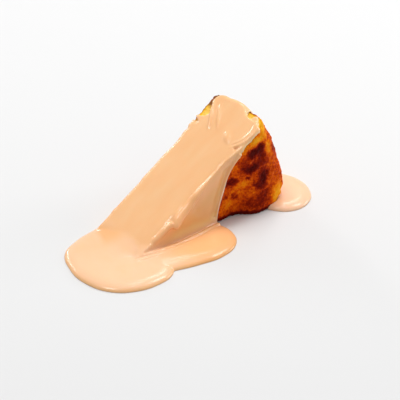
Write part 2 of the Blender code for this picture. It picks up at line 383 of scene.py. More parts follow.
def set_places(curve, places, corners=()):
    """Leads a curve through places (x, y, z) in mm. corners are the numbers of those that stay sharp."""
    points = curve.data.splines[0].bezier_points
    points.add(len(places) - len(points))
    for number, (point, place) in enumerate(zip(points, places)):
        handle = "VECTOR" if number in corners else "AUTO"
        point.handle_left_type = handle
        point.handle_right_type = handle
        point.co = Vector(place) * MM
    curve.data.resolution_u = CURVE_STEPS


def drawn_shape(name, outline, low, high, corners=(), edge=0.0):
    """A slab round an outline of places (x, y), from low to high along Z, its top rim rounded by edge."""
    bpy.ops.object.select_all(action="DESELECT")
    bpy.ops.curve.primitive_bezier_circle_add()
    shape = bpy.context.object
    shape.name = name
    set_places(shape, [(x, y, 0.0) for x, y in outline], corners)
    shape.data.dimensions = "2D"
    shape.data.fill_mode = "BOTH"
    bpy.ops.object.convert(target="MESH")
    bpy.ops.object.mode_set(mode="EDIT")
    bpy.ops.mesh.select_all(action="SELECT")
    bpy.ops.mesh.dissolve_faces()
    bpy.ops.transform.translate(value=(0.0, 0.0, low * MM))
    bpy.ops.mesh.extrude_region_move(TRANSFORM_OT_translate={"value": (0.0, 0.0, (high - low) * MM)})
    if edge:
        bpy.ops.mesh.region_to_loop()
        bpy.ops.mesh.bevel(offset=edge * MM, segments=ROUNDING_STEPS)
    bpy.ops.object.mode_set(mode="OBJECT")
    shape = bpy.context.object
    make_outward(shape)
    return shape


# %% [markdown]
# A shape is easiest to draw flat at the world's origin. One more helper turns it the right way and
# moves that origin to the tip of the slice. It then applies place, turn and size to the mesh, because
# a finished piece's object has to sit at the origin, unturned and unscaled.

# %% Put a drawn shape on the slice
AS_DRAWN = (0.0, 0.0, 0.0)


def fix_place(piece):
    """Moves the object's place, turn and size into its mesh."""
    work_on(piece)
    bpy.ops.object.transform_apply(location=True, rotation=True, scale=True)


def put(shape, turn=AS_DRAWN):
    """Turns a shape about the world's origin, and moves that origin to the slice's tip."""
    shape.rotation_euler = turn
    shape.location = TIP
    fix_place(shape)
    make_outward(shape)


# %% [markdown]
# A pool of thick sauce is nearly flat and has a round, full rim, steep at the floor. A plain bevel
# makes a quarter circle, which is no wider than the pool is deep. So the slab is drawn too tall,
# bevelled, and pressed flat: its rim is then a quarter of an ellipse, as wide as wanted. The largest
# pool lies in front of the tip and reaches round it on both sides.

# %% The front pool
UNDER = 4.0                  # a pool reaches this far below the ground, and is cut off there later
FRONT_POOL = (
    (30.0, 0.0), (19.0, -8.0), (12.2, -16.5), (10.6, -23.6), (5.0, -29.2), (-6.5, -31.8),
    (-24.3, -28.4), (-36.6, -18.2), (-41.4, -1.4), (-38.6, 18.0), (-29.0, 34.0), (-15.0, 40.6),
    (2.0, 43.4), (20.0, 46.4), (35.0, 46.4), (46.0, 39.0), (56.0, 20.0), (46.0, 6.0),
)


def pool(name, outline, depth=3.1, edge=8.0):
    """A pool whose rim comes down over the width edge. It is drawn edge tall, and pressed to its depth."""
    tall = edge / depth
    shape = drawn_shape(name, outline, -UNDER * tall, depth * tall, edge=edge)
    shape.scale = (1.0, 1.0, 1.0 / tall)
    put(shape)
    tell(shape)
    return shape


front_pool = pool("front_pool", FRONT_POOL)

# %% [markdown]
# Sauce that ran down the baked top made a second pool in front of it. It has its own round end, and a
# notch where it meets the front pool. One curve round both would blur that notch, so it is a pool of
# its own, a little deeper and with a softer rim.

# %% The side pool
SIDE_POOL = (
    (66.0, -3.0), (66.5, -16.0), (58.0, -28.5), (43.5, -33.2), (26.0, -31.0), (13.0, -27.2),
    (0.0, -22.0), (-4.0, -6.0), (14.0, 12.0), (38.0, 16.0), (58.0, 12.0),
)
side_pool = pool("side_pool", SIDE_POOL, depth=3.4, edge=13.0)

# %% [markdown]
# A third pool lies behind the rim, fed by the run that comes down there. Only its right end shows
# from the front. It could stop at the cake, but the rim's foot is uneven and a gap would show. So it
# is a whole oval that reaches under the cake, and the cake's space is cut out of it later.

# %% The pool behind the rim
RIM_POOL = (
    (141.7, 4.0), (137.5, -11.0), (127.0, -20.5), (115.0, -21.8), (105.0, -14.0),
    (100.0, 10.0), (104.0, 33.0), (117.0, 40.0), (129.0, 33.0), (138.5, 17.0),
)
rim_pool = pool("rim_pool", RIM_POOL)

# %% [markdown]
# Where the sauce clings to the cake it follows the cake's form at an even depth. A sheet laid over it
# could cut into the cake or stand off it. So each layer is the soft copy of the cake, grown by the
# layer's depth, of which a Boolean keeps what lies inside the outline that the sauce reached. A
# vertex group thins a layer where it should run out.

# %% Layers that cling to the cake


def clinging(name, depth, outline, share=None):
    """The cake grown by a depth and kept inside an outline. share(x, y, z) thins it, from 1 to 0."""
    layer = copy_of(soft_cake, name)
    settings = {}
    if share:
        group = layer.vertex_groups.new(name="depth")
        for point in layer.data.vertices:
            group.add([point.index], share(*((point.co - TIP) / MM)), "REPLACE")
        settings["vertex_group"] = group.name
    apply_modifier(layer, "DISPLACE", strength=depth * MM, mid_level=0.0, **settings)
    apply_modifier(layer, "BOOLEAN", operation="INTERSECT", solver="MANIFOLD", object=outline)
    bpy.data.objects.remove(outline, do_unlink=True)
    tell(layer)
    return layer


def ease(value, low, high):
    """0 below low, 1 above high, and smooth between."""
    part = min(max((value - low) / (high - low), 0.0), 1.0)
    return part * part * (3.0 - 2.0 * part)


# %% [markdown]
# The coat covers the long slope from the tip nearly to the rim. Its upper edge broke into tongues
# and bays where it stopped, and bare cake shows between them. The outline is drawn as seen straight
# onto the slope: first along the near edge, then round the top, and back along the far edge.

# %% The coat on the slope
UP_THE_SLOPE = (0.0, -SLICE_ANGLE, 0.0)          # X stays along the slope, Z points out of it
COAT_DEPTH = 2.2
COAT = (
    (-4.0, 1.6), (12.0, 0.8), (24.0, -2.2), (36.0, -2.5), (60.0, -2.5), (86.0, -2.5), (93.0, -2.0),
    (96.0, 3.0), (99.5, 1.0), (101.0, -1.0), (104.6, -3.0), (108.6, -3.9), (112.0, -3.6),
    (115.4, -1.2), (116.6, 2.8), (117.2, 7.0), (118.0, 11.0), (121.0, 15.5), (124.5, 21.0),
    (125.5, 26.0), (125.2, 32.0), (123.2, 37.6), (119.8, 40.6), (115.2, 40.8), (112.4, 38.0),
    (109.0, 36.2), (105.2, 36.8), (103.2, 40.0), (101.9, 43.4), (100.4, 41.5), (99.0, 38.6),
    (96.8, 38.8), (95.4, 42.6), (93.6, 43.4), (92.2, 40.2), (90.6, 40.4), (89.0, 43.4),
    (82.0, 46.0), (60.0, 46.0), (-4.0, 46.0),
)
coat_outline = drawn_shape("coat_outline", COAT, low=-3.0, high=12.0, corners=(0, 38, 39))
put(coat_outline, UP_THE_SLOPE)
coat = clinging("coat", COAT_DEPTH, coat_outline)

# %% [markdown]
# Round the coat's upper end the sauce drained off, and only a film is left between coat and crust.
# Without it the coat would end in a step, as if cut out of a sheet.

# %% The film at the top
FILM_DEPTH = 0.7
FILM = (
    (88.0, 0.0), (90.0, -5.6), (93.6, -5.1), (101.0, -4.6), (108.0, -5.3), (112.2, -5.2),
    (115.0, -4.2), (116.2, -1.8), (118.6, 0.0), (120.6, 2.8), (121.4, 5.0), (120.2, 6.6),
    (118.0, 7.6), (118.4, 11.0), (122.0, 14.0), (122.6, 24.0), (88.0, 24.0),
)
film_outline = drawn_shape("film_outline", FILM, low=-1.2, high=12.0, corners=(0, 15, 16))
put(film_outline, UP_THE_SLOPE)
film = clinging("film", FILM_DEPTH, film_outline)

# %% [markdown]
# From the near edge of the slope the sauce hangs down the baked top as a curtain, which ends to the
# right in a thin edge. It is drawn as seen from the front. An even layer would end there in a step, so
# a share of its depth falls off over the last stretch before the edge.

# %% The curtain in front
UPRIGHT = (math.radians(90), 0.0, 0.0)           # Y turns up, and Z towards the viewer
CURTAIN_DEPTH = 3.3
CURTAIN_THINNEST = 0.22      # the share of that depth at its right edge
CURTAIN_RUNS_OUT = 11.0      # over this width
CURTAIN_EDGE = (
    (65.6, 0.0), (67.2, 9.5), (71.2, 21.7), (74.9, 32.3), (79.5, 41.2), (82.8, 46.6), (87.8, 51.8),
    (94.0, 66.0),
)
CURTAIN = ((60.0, 36.0), (22.0, 13.8), (0.0, 1.6), (-6.0, -1.0), (65.9, -1.0), *CURTAIN_EDGE[:7])


def curtain_share(x, y, z):
    """The share of the curtain's depth at a place, by its distance from the right edge."""
    for (x_low, z_low), (x_high, z_high) in zip(CURTAIN_EDGE, CURTAIN_EDGE[1:]):
        if z <= z_high:
            break
    edge = x_low + (x_high - x_low) * (z - z_low) / (z_high - z_low)
    return CURTAIN_THINNEST + (1.0 - CURTAIN_THINNEST) * ease(edge - x, 0.0, CURTAIN_RUNS_OUT)


curtain_outline = drawn_shape(
    "curtain_outline", CURTAIN, low=-3.0, high=20.0, corners=(0, 1, 2, 3, 4, 5, 11))
put(curtain_outline, UPRIGHT)
curtain = clinging("curtain", CURTAIN_DEPTH, curtain_outline, curtain_share)

# %% [markdown]
# Surface tension gathers the curtain's thin edge into a small round lip. It follows both the edge
# and the swollen baked top, so a ray is shot at the cake at each place to find how far out it lies.
# A lip like this, and every bead and fold below, is a tube: a curve with a radius at each place.

# %% The curtain's lip
TUBE_STEPS = 4               # Blender's bevel resolution, which gives a tube 12 sides
LIP_RADIUS = 1.1
LIP_INSET = 0.7              # the lip runs this far inside the curtain's edge
IN_FRONT = -30.0             # the rays start here, well clear of the cake


def tube(name, places, turn=AS_DRAWN):
    """A run of sauce through places (x, y, z, radius) in mm, turned and put at the slice's tip."""
    bpy.ops.object.select_all(action="DESELECT")
    bpy.ops.curve.primitive_bezier_curve_add()
    line = bpy.context.object
    line.name = name
    set_places(line, [place[:3] for place in places])
    for point, place in zip(line.data.splines[0].bezier_points, places):
        point.radius = place[3]
    line.data.bevel_depth = MM
    line.data.bevel_resolution = TUBE_STEPS
    line.data.use_fill_caps = True
    bpy.ops.object.convert(target="MESH")
    shape = bpy.context.object
    make_outward(shape)
    put(shape, turn)
    tell(shape)
    return shape


def on_baked_top(x, z, out):
    """A place over the cake's upright baked top, that far in front of its skin."""
    place = soft_cake.ray_cast(spot(x, IN_FRONT, z), Vector((0.0, 1.0, 0.0)))[1]
    return (x, (place.y - TIP.y) / MM - out, z)


curtain_lip = tube("curtain_lip", [
    (*on_baked_top(x - LIP_INSET, z, LIP_RADIUS), LIP_RADIUS)
    for x, z in ((66.0, 2.0), *CURTAIN_EDGE[1:6])
])

# %% [markdown]
# On the far side the coat laps over the edge onto the cake's base and ends there in drips. Each drip
# could be a tube, but then it would have to be fitted to the base. In the outline of one thin clinging
# layer a drip is a single place. The slab stands only behind, so that it keeps nothing in front.

# %% The lap behind
LAP_DEPTH = 1.5
FAR_LAP = (
    (-4.0, -1.0), (40.0, -1.0), (45.0, 6.0), (50.0, 19.0), (54.0, 22.0), (58.0, 13.0), (64.0, 26.0),
    (68.0, 28.0), (72.0, 30.0), (76.0, 38.0), (81.0, 42.0), (86.0, 49.5), (60.0, 36.5), (20.0, 13.0),
    (-4.0, 1.0),
)
lap_outline = drawn_shape("lap_outline", FAR_LAP, low=-60.0, high=-36.0, corners=(0, 1, 12, 13, 14))
put(lap_outline, UPRIGHT)
far_lap = clinging("far_lap", LAP_DEPTH, lap_outline)

# %% [markdown]
# Where the coat reached the rim, one broad run went down the outside and filled the pool behind. The
# rim is round, and a straight shape would stand off it, so the run is a clinging layer too, with its
# outline drawn as seen along X. It is fullest along its middle, and thinner to both sides.

# %% The run down the rim
ALONG_X = (math.radians(90), 0.0, math.radians(90))   # X turns across the slice, Y up, Z along it
RUN_DEPTH = 2.9
RUN_THINNEST = 0.35          # the share of that depth at the run's two sides
RUN_ACROSS = (10.0, 22.0, 29.0, 40.0)                 # Y where it starts, is full, still is, and ends
RUN_ON_TOP = 0.72            # the share where it turns over the edge from the slope
RUN_TURNS = (102.0, 110.0)   # X between which it does
RIM_RUN = (
    (12.0, 66.0), (12.5, 50.0), (15.5, 34.0), (14.0, 16.0), (9.0, -1.0),
    (33.0, -1.0), (31.5, 14.0), (33.5, 30.0), (36.5, 48.0), (38.5, 66.0),
)


def run_share(x, y, z):
    """The share of the run's depth at a place."""
    start, full, still_full, end = RUN_ACROSS
    middle = ease(y, start, full) * ease(-y, -end, -still_full)
    across = RUN_THINNEST + (1.0 - RUN_THINNEST) * middle
    return across * (RUN_ON_TOP + (1.0 - RUN_ON_TOP) * ease(x, *RUN_TURNS))


run_outline = drawn_shape("run_outline", RIM_RUN, low=100.0, high=130.0, corners=(0, 4, 5, 9))
put(run_outline, ALONG_X)
rim_run = clinging("rim_run", RUN_DEPTH, run_outline, run_share)

# %% [markdown]
# The coat's near edge is a rolled bead, which curls outwards a quarter of the way up. One tube through
# all of it would pinch at the curl, where the lower run dives under the upper one. So it is two tubes
# that overlap there, and both start and end inside the coat.

# %% The rolled edge
lower_bead = tube("lower_bead", (
    (-3.0, 2.4, -3.0, 4.2), (3.0, 1.7, -2.2, 4.4), (9.0, 0.7, -1.6, 3.9), (15.0, -0.9, -0.3, 2.6),
    (21.0, -1.9, 0.3, 2.1), (27.0, -2.3, 0.6, 1.9), (32.0, -2.8, 0.2, 2.0),
), UP_THE_SLOPE)
upper_bead = tube("upper_bead", (
    (30.6, -5.4, -1.9, 1.7), (32.6, -4.9, -1.4, 2.5), (36.0, -3.4, -1.0, 3.1), (41.0, -2.4, -1.0, 3.1),
    (47.0, -2.0, -0.9, 3.0), (51.0, -2.0, -0.2, 2.6), (54.6, -2.2, 0.6, 2.3), (60.0, -2.2, 0.8, 2.0),
    (67.0, -2.0, 0.9, 1.6), (75.0, -1.8, 1.1, 1.2), (83.0, -1.7, 1.2, 1.1), (90.6, -2.8, 0.9, 1.4),
    (97.0, -3.6, 0.6, 1.4), (102.0, -4.0, 0.3, 1.1), (107.0, -4.3, 0.0, 0.8),
), UP_THE_SLOPE)

# %% [markdown]
# Near the top the sauce folded over itself as it was poured. Folds like these could be sculpted with
# a brush, but a script can't repeat that. The two at the near corner are thin tubes, half sunk into
# the coat, so that only their rounded backs stay after the melting.

# %% The folds at the near corner
top_fold = tube("top_fold", (
    (89.0, 6.0, 0.6, 1.0), (93.5, 2.8, 1.3, 1.1), (97.5, -0.6, 1.5, 1.2), (101.0, -2.8, 1.5, 1.2),
    (105.0, -3.5, 1.4, 1.2), (109.0, -3.9, 1.4, 1.2), (112.6, -3.4, 1.3, 1.2), (115.4, -1.8, 1.1, 1.2),
), UP_THE_SLOPE)
inner_fold = tube("inner_fold", (
    (94.0, 6.2, 1.0, 0.9), (98.0, 2.2, 1.6, 0.95), (102.0, -0.6, 1.8, 0.95), (106.5, -1.8, 1.8, 1.0),
    (110.0, -1.8, 1.7, 1.1), (113.0, -1.2, 1.5, 1.2), (115.8, 0.2, 1.2, 1.3), (117.6, 2.4, 0.8, 1.2),
), UP_THE_SLOPE)

# %% [markdown]
# Two more folds run slantwise over the coat further back, and between them and the near corner lies
# one wide, low patch. The patch is a thick tube sunk so deep that only a cap of it stays above.

# %% The ridges and the raised patch
far_ridge = tube("far_ridge", (
    (117.6, 40.0, 0.8, 1.1), (113.7, 38.0, 1.9, 1.2), (109.7, 35.4, 2.3, 1.2), (104.8, 31.6, 2.3, 1.2),
    (100.0, 28.6, 1.9, 1.2), (94.0, 25.6, 0.6, 1.1),
), UP_THE_SLOPE)
middle_ridge = tube("middle_ridge", (
    (118.6, 34.6, 0.7, 1.2), (114.6, 32.4, 1.6, 1.2), (109.4, 28.5, 2.0, 1.25), (104.8, 24.7, 2.0, 1.25),
    (98.5, 19.4, 1.0, 1.2),
), UP_THE_SLOPE)
raised_patch = tube("raised_patch", (
    (104.4, 16.0, -2.0, 3.4), (101.6, 13.0, -1.4, 4.1), (98.4, 9.6, -1.1, 4.3), (95.6, 6.4, -1.5, 4.0),
    (93.6, 4.0, -2.2, 3.4),
), UP_THE_SLOPE)

# %% [markdown]
# The curtain flares out where it stands in the side pool. A clinging layer can't do that, because it
# is as deep at its foot as above. So the foot is a section drawn across the slice and extruded along
# it. Both ends are then drawn out and made smaller, and the flare fades away without a step.

# %% The foot of the curtain
SAME_HEIGHT = 0.1            # faces this near to the end's height, in mm, belong to it
FOOT = ((3.0, 0.0), (-4.9, 0.0), (-4.6, 3.0), (-3.7, 7.0), (-3.0, 13.0), (3.0, 13.0))


def draw_out_end(shape, length, size):
    """Extrudes a drawn shape's end along Z, back if length is negative, and resizes it by (x, y)."""
    heights = [corner[2] for corner in shape.bound_box]
    end = max(heights) if length > 0 else min(heights)
    work_on(shape)
    bpy.ops.object.mode_set(mode="EDIT")
    bpy.ops.mesh.select_mode(type="FACE")
    mesh = bmesh.from_edit_mesh(shape.data)
    for face in mesh.faces:
        face.select_set(abs(face.calc_center_median().z - end) < SAME_HEIGHT * MM)
    bmesh.update_edit_mesh(shape.data)
    bpy.ops.mesh.extrude_region_move(TRANSFORM_OT_translate={"value": (0.0, 0.0, length * MM)})
    bpy.ops.transform.resize(value=(*size, 1.0), center_override=(0.0, 0.0, 0.0))
    bpy.ops.object.mode_set(mode="OBJECT")


foot = drawn_shape("curtain_foot", FOOT, low=22.0, high=54.0, corners=(0, 1, 4, 5))
draw_out_end(foot, -26.0, (1.0, 0.16))
draw_out_end(foot, 12.0, (0.6, 0.3))
put(foot, ALONG_X)
tell(foot)

# %% [markdown]
# Two low ripples run along the crease between curtain and pool, where the flow piled up. Bump could
# hint at them, but the lamp over the crease draws its bright lines only on real backs. So they are
# tubes too, sunk into the side pool.

# %% The ripples along the crease
ripple = tube("crease_ripple", (
    (-3.0, -2.0, 2.3, 0.9), (-0.6, -2.8, 3.0, 1.0), (7.6, -5.0, 3.3, 1.0), (18.5, -6.6, 3.4, 1.0),
    (29.8, -7.4, 3.4, 1.0), (44.1, -7.2, 3.4, 1.0), (56.0, -6.4, 3.3, 1.0), (65.0, -5.4, 2.9, 0.9),
))
second_ripple = tube("second_ripple", (
    (-5.0, -4.4, 2.3, 0.8), (-2.6, -5.2, 2.7, 0.9), (5.3, -7.7, 3.1, 0.9), (16.9, -8.9, 3.1, 0.9),
    (30.0, -9.8, 3.0, 0.9), (42.0, -9.6, 2.6, 0.9),
))

# %% [markdown]
# At the tip the slope turns into the front pool in one wide, soft curve. Remeshing alone would round
# a hard corner by less than a millimetre, so the hollow gets a filling with that curve as its upper
# side. Both ends are drawn out in small steps, each lower than the last, so that they sink in softly.

# %% The soft foot of the slope
SLOPE_FOOT = (
    (-18.0, -1.0), (-18.0, 3.1), (-10.0, 3.15), (0.6, 4.6), (10.4, 8.3), (20.0, 13.6), (20.0, 8.0),
    (2.0, -1.0),
)
slope_foot = drawn_shape("slope_foot", SLOPE_FOOT, low=-20.0, high=-6.0, corners=(0, 1, 5, 6, 7))
for lower in (0.95, 0.88, 0.82, 0.78):
    draw_out_end(slope_foot, 2.4, (lower, lower))
for lower in (0.97, 0.95, 0.93, 0.92):
    draw_out_end(slope_foot, -4.2, (lower, lower))
put(slope_foot, UPRIGHT)
tell(slope_foot)

# %% [markdown]
# Now all the shapes become one. A Boolean union would keep the hard creases between them. A voxel
# remesh of the joined shapes melts them into one closed skin, and a little smoothing then rounds the
# steps between them, as surface tension does. Broad shallow waves keep the skin from looking cast.

# %% Melt them together
SAUCE_VOXEL = 0.6


def join(name, pieces):
    work_on(*pieces)
    bpy.ops.object.join()
    whole = bpy.context.object
    whole.name = name
    return whole


sauce = join("poured_sauce", [
    front_pool, side_pool, rim_pool, coat, film, curtain, curtain_lip, far_lap, rim_run, lower_bead,
    upper_bead, top_fold, inner_fold, far_ridge, middle_ridge, raised_patch, foot, ripple, second_ripple,
    slope_foot,
])
apply_modifier(sauce, "REMESH", mode="VOXEL", voxel_size=SAUCE_VOXEL * MM)
apply_modifier(sauce, "SMOOTH", factor=0.5, iterations=4)
roughen(sauce, "sauce_waves", 20.0, 0.5, detail=0)
tell(sauce)

# %% [markdown]
# The sauce still fills the space of the cake, because its layers were grown from solid copies. A copy
# of the finished cake, larger by a small gap, is cut out of it, so the two lie close and never cross.
# A block under the ground then cuts everything off flat, which is what both of them stand on.

# %% Cut away the cake's space and what is under the ground
GAP = 0.3
GROUND_SIDE = 1.0
GROUND_DEPTH = 0.04


def cut(piece, cutter):
    apply_modifier(piece, "BOOLEAN", operation="DIFFERENCE", solver="MANIFOLD", object=cutter)


bpy.ops.mesh.primitive_cube_add(size=1.0, location=(0.0, 0.0, -GROUND_DEPTH / 2))
ground = bpy.context.object
ground.scale = (GROUND_SIDE, GROUND_SIDE, GROUND_DEPTH)
fix_place(ground)
cake_space = copy_of(cake, "cake_space")
apply_modifier(cake_space, "DISPLACE", strength=GAP * MM, mid_level=0.0)
cut(sauce, cake_space)
cut(sauce, ground)
cut(cake, ground)
for helper in (cake_space, soft_cake, ground):
    bpy.data.objects.remove(helper, do_unlink=True)
tell(cake)
tell(sauce)

# %% [markdown]
# The cake's underside is rough, so the cut leaves loose scraps of sauce between it and the ground.
# Nobody sees them, but a clean mesh is one body. So one point of the front pool is picked, all that
# hangs together with it is selected, and the rest is deleted.

# %% Drop the loose scraps of sauce


def keep_main_body(piece):
    """Keeps what hangs together with the piece's leftmost point, and deletes the rest."""
    leftmost = min(piece.data.vertices, key=lambda point: point.co.x).index
    count = len(piece.data.vertices)
    work_on(piece)
    bpy.ops.object.mode_set(mode="EDIT")
    bpy.ops.mesh.select_mode(type="VERT")
    bpy.ops.mesh.select_all(action="DESELECT")
    mesh = bmesh.from_edit_mesh(piece.data)
    mesh.verts.ensure_lookup_table()
    mesh.verts[leftmost].select_set(True)
    bmesh.update_edit_mesh(piece.data)
    bpy.ops.mesh.select_linked()
    bpy.ops.mesh.select_all(action="INVERT")
    bpy.ops.mesh.delete(type="VERT")
    bpy.ops.object.mode_set(mode="OBJECT")
    print("loose points dropped:", count - len(piece.data.vertices))


keep_main_body(sauce)
tell(sauce)

# %% [markdown]
# Where the sauce ends on the cake it is thin, and light comes through, so its edge looks paler than
# the rest. Following the light through so thin a layer is slow and grainy to render. It is simpler to
# let each point store how far it is from bare cake, which the finish turns into a paler colour.

# %% How far each point of the sauce lies from bare cake
COVERED_WITHIN = 1.4         # a point of the cake with sauce this near to it is covered
ABOVE_GROUND = 4.0           # the pools' rims on the ground don't count


def mark_edge(piece, carrier):
    """Stores each point's distance from the bare part of what carries the piece."""
    cover = search_tree([point.co for point in piece.data.vertices])
    bare = [point.co for point in carrier.data.vertices
            if point.co.z > ABOVE_GROUND * MM and cover.find(point.co)[2] > COVERED_WITHIN * MM]
    print("bare points of the cake:", len(bare), "of", len(carrier.data.vertices))
    store_distances(piece, "from_bare_cake", search_tree(bare))


mark_edge(sauce, cake)

# %% [markdown]
# ## Finishes
#
# A finish is a net of shader nodes. Written out node by node, a recipe is hard to read. So one class
# wraps the output of a node, and plain arithmetic on it adds the Math nodes.

# %% Sockets that can be added and multiplied


class Value:
    """An output of one of a finish's nodes. Arithmetic on it adds Math nodes."""

    def __init__(self, finish, socket):
        self.finish = finish
        self.socket = socket

    def maths(self, operation, first, second):
        return self.finish.node("ShaderNodeMath", {"operation": operation}, {0: first, 1: second})

    def __add__(self, other):
        return self.maths("ADD", self, other)

    def __radd__(self, other):
        return self.maths("ADD", other, self)

    def __sub__(self, other):
        return self.maths("SUBTRACT", self, other)

    def __rsub__(self, other):
        return self.maths("SUBTRACT", other, self)

    def __mul__(self, other):
        return self.maths("MULTIPLY", self, other)

    def __rmul__(self, other):
        return self.maths("MULTIPLY", other, self)


# %% [markdown]
# The second class is a material. One method adds any node, and short ones name the few that these
# recipes use. It also holds each point's place, in millimetres from the slice's tip: colours below
# change with that place, and so they stay where they are when the camera moves.

# %% A material and its nodes


class Finish:
    """A material, with the nodes that make up its finish."""

    def __init__(self, name, **constants):
        self.material = bpy.data.materials.new(name)
        self.material.use_nodes = True
        self.tree = self.material.node_tree
        self.shader = self.tree.nodes["Principled BSDF"]
        for socket, value in constants.items():
            self.shader.inputs[socket.replace("_", " ")].default_value = value
        self.place = self.node("ShaderNodeTexCoord", {}, {}, "Object")
        from_tip = self.vector("SUBTRACT", self.place, tuple(TIP))
        self.from_tip = self.vector("MULTIPLY", from_tip, (1.0 / MM, 1.0 / MM, 1.0 / MM))
        self.x, self.y, self.z = (
            self.node("ShaderNodeSeparateXYZ", {}, {0: self.from_tip}, axis) for axis in "XYZ")

    def node(self, kind, settings, inputs, output=0):
        """Adds a node: its settings first, then its sockets' values or links."""
        added = self.tree.nodes.new(kind)
        for name, value in settings.items():
            if name == "stops":
                self.set_stops(added.color_ramp, value)
            else:
                setattr(added, name, value)
        for name, value in inputs.items():
            if isinstance(value, Value):
                self.tree.links.new(value.socket, added.inputs[name])
            else:
                added.inputs[name].default_value = value
        return Value(self, added.outputs[output])

    def set_stops(self, ramp, stops):
        while len(ramp.elements) < len(stops):
            ramp.elements.new(1.0)
        for element, (position, colour) in zip(ramp.elements, stops):
            element.position = position
            element.color = colour

    def noise(self, size, detail=2.0, roughness=0.5, place=None, output="Fac"):
        """Cloudy noise from 0 to 1, with lumps of about that size in millimetres."""
        inputs = {"Vector": place or self.place, "Scale": 1.0 / (size * MM)}
        inputs.update({"Detail": detail, "Roughness": roughness})
        return self.node("ShaderNodeTexNoise", {}, inputs, output)

    def share(self, value, low, high):
        """0 where the value is below low, 1 above high, and smooth between."""
        inputs = {"Value": value, "From Min": low, "From Max": high}
        return self.node("ShaderNodeMapRange", {"interpolation_type": "SMOOTHSTEP"}, inputs)

    def fade(self, value, low, high):
        """The reverse: 1 where the value is below low, and 0 above high."""
        return 1.0 - self.share(value, low, high)

    def blend(self, share, first, second):
        """The first colour where share is 0, the second where it is 1."""
        return self.node("ShaderNodeMix", {"data_type": "RGBA"}, {0: share, 6: first, 7: second}, 2)

    def vector(self, operation, first, second=None, output="Vector"):
        inputs = {0: first} if second is None else {0: first, 1: second}
        return self.node("ShaderNodeVectorMath", {"operation": operation}, inputs, output)

    def ramp(self, value, stops):
        """The colour for a number, from stops of (number, colour)."""
        return self.node("ShaderNodeValToRGB", {"stops": stops}, {"Fac": value}, "Color")

    def stored(self, name):
        """The number that each point of the piece stores under a name."""
        return self.node("ShaderNodeAttribute", {"attribute_name": name}, {}, "Fac")

    def feed(self, socket, value):
        self.tree.links.new(value.socket, self.shader.inputs[socket])

    def bump(self, height, depth, strength):
        """Small relief that only the light shows: a height from 0 to 1, for a depth in millimetres."""
        inputs = {"Height": height, "Distance": depth * MM, "Strength": strength}
        self.feed("Normal", self.node("ShaderNodeBump", {}, inputs, "Normal"))


def srgb(red, green, blue):
    """A linear colour with alpha from the eight-bit values that a screen shows."""
    def linear(level):
        level = level / 255
        return level / 12.92 if level <= 0.04045 else ((level + 0.055) / 1.055) ** 2.4
    return (linear(red), linear(green), linear(blue), 1.0)


# %% [markdown]
# The baked top is amber, with burnt patches and paler golden ones. An image could be painted for it,
# but it would be sharp from one distance only. Here each patch is a soft oval with a place, a size and
# a strength, and it raises or lowers how far the crust is baked there. Noise pushes the place about
# before the ovals are measured, which makes their edges ragged, and more noise breaks them up inside.

# %% Burnt patches and golden ones
BURNT = (                    # X, Z, half width, half height and strength, on the upright baked top
    (92.6, 43.4, 4.4, 3.2, 0.46),
    (98.2, 45.6, 3.4, 2.8, 0.38),
    (99.4, 40.8, 3.0, 2.6, 0.22),
    (84.5, 36.6, 3.4, 3.4, 0.14),
    (90.2, 32.6, 4.6, 3.2, 0.46),
    (100.2, 26.4, 4.0, 3.6, 0.44),
    (98.0, 20.4, 4.2, 3.6, 0.38),
    (78.6, 25.4, 4.0, 2.8, 0.36),
    (81.5, 14.6, 2.0, 2.6, 0.24),
    (74.6, 16.0, 1.6, 1.8, 0.14),
    (96.0, 7.0, 8.0, 4.0, 0.22),
    (88.5, 25.7, 1.1, 1.0, 0.30),
    (100.0, 12.6, 3.4, 3.0, 0.22),
    (98.0, 35.6, 6.0, 3.6, 0.26),
    (83.0, 1.5, 5.0, 1.8, 0.16),
    (112.5, 40.0, 2.4, 4.0, 0.18),
)
GOLDEN = (
    (85.6, 48.0, 3.6, 2.6, 0.20),
    (92.4, 51.4, 4.0, 2.8, 0.28),
    (100.6, 52.8, 5.4, 3.4, 0.32),
    (104.4, 44.6, 3.0, 3.8, 0.18),
    (105.4, 39.6, 2.8, 4.2, 0.08),
    (103.0, 59.5, 4.0, 3.4, 0.50),
    (112.6, 5.6, 5.6, 8.4, 0.40),
    (85.4, 22.6, 4.6, 2.6, 0.18),
    (80.0, 36.4, 3.4, 3.4, 0.14),
    (82.4, 17.2, 3.2, 3.0, 0.16),
    (75.4, 9.8, 4.0, 3.4, 0.20),
)
PUSH_ABOUT = 5.0 * MM


def ragged_place(finish):
    """Each point's place, pushed about by noise."""
    push = finish.noise(4.5, 3.0, 0.6, output="Color")
    push = finish.vector("SUBTRACT", push, (0.5, 0.5, 0.5))
    push = finish.vector("MULTIPLY", push, (PUSH_ABOUT, PUSH_ABOUT, PUSH_ABOUT))
    return finish.vector("ADD", finish.place, push)


def patch(finish, place, x, z, half_width, half_height, strength):
    """A soft oval: full up to 0.3 of its half sizes, and gone at 1.7 of them."""
    away = finish.vector("SUBTRACT", place, tuple(spot(x, 0.0, z)))
    away = finish.vector("MULTIPLY", away, (1.0 / (half_width * MM), 0.0, 1.0 / (half_height * MM)))
    far = finish.vector("LENGTH", away, output="Value")
    return finish.fade(far, 0.3, 1.7) * strength


def patches(finish):
    """How much more than its surroundings each point is baked, below 0 where it is less."""
    place = ragged_place(finish)
    burnt = sum(patch(finish, place, *sizes) for sizes in BURNT)
    golden = sum(patch(finish, place, *sizes) for sizes in GOLDEN)
    return (burnt - golden) * (0.56 + finish.noise(2.4, 3.0, 0.7) * 0.88)


print("patches on the baked top:", len(BURNT), "burnt,", len(GOLDEN), "golden")
